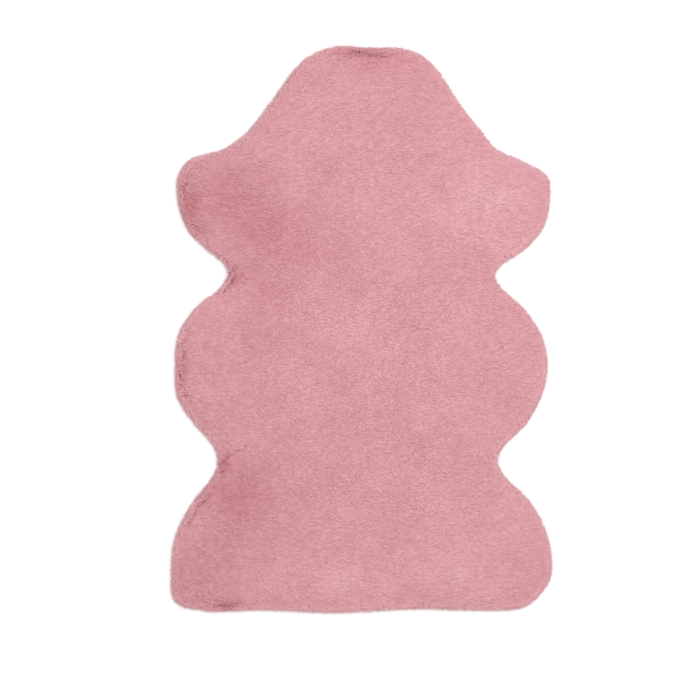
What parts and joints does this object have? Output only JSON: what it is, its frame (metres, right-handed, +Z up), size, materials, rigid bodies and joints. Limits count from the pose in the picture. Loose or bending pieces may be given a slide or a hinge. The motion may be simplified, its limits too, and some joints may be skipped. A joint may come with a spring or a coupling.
{
  "type": "shag rug",
  "caption": "Small plush shag rug cut to the outline of a hide, with a narrow end, lobed sides and locks of pile round its rim, to lie flat on a floor.",
  "frame": {"origin": "on the floor, under the middle of the rug's length and width", "axes": "+Z up out of the pile, +Y along the rug towards its narrow end, +X across it to the right, seen from above"},
  "size_m": [0.604, 0.8964, 0.0256],
  "materials": {
    "pile": "matt dusty pink plush fur pile, tips paler than the roots"
  },
  "bodies": {
    "root": {"rug": "pile"}
  },
  "joints": []
}
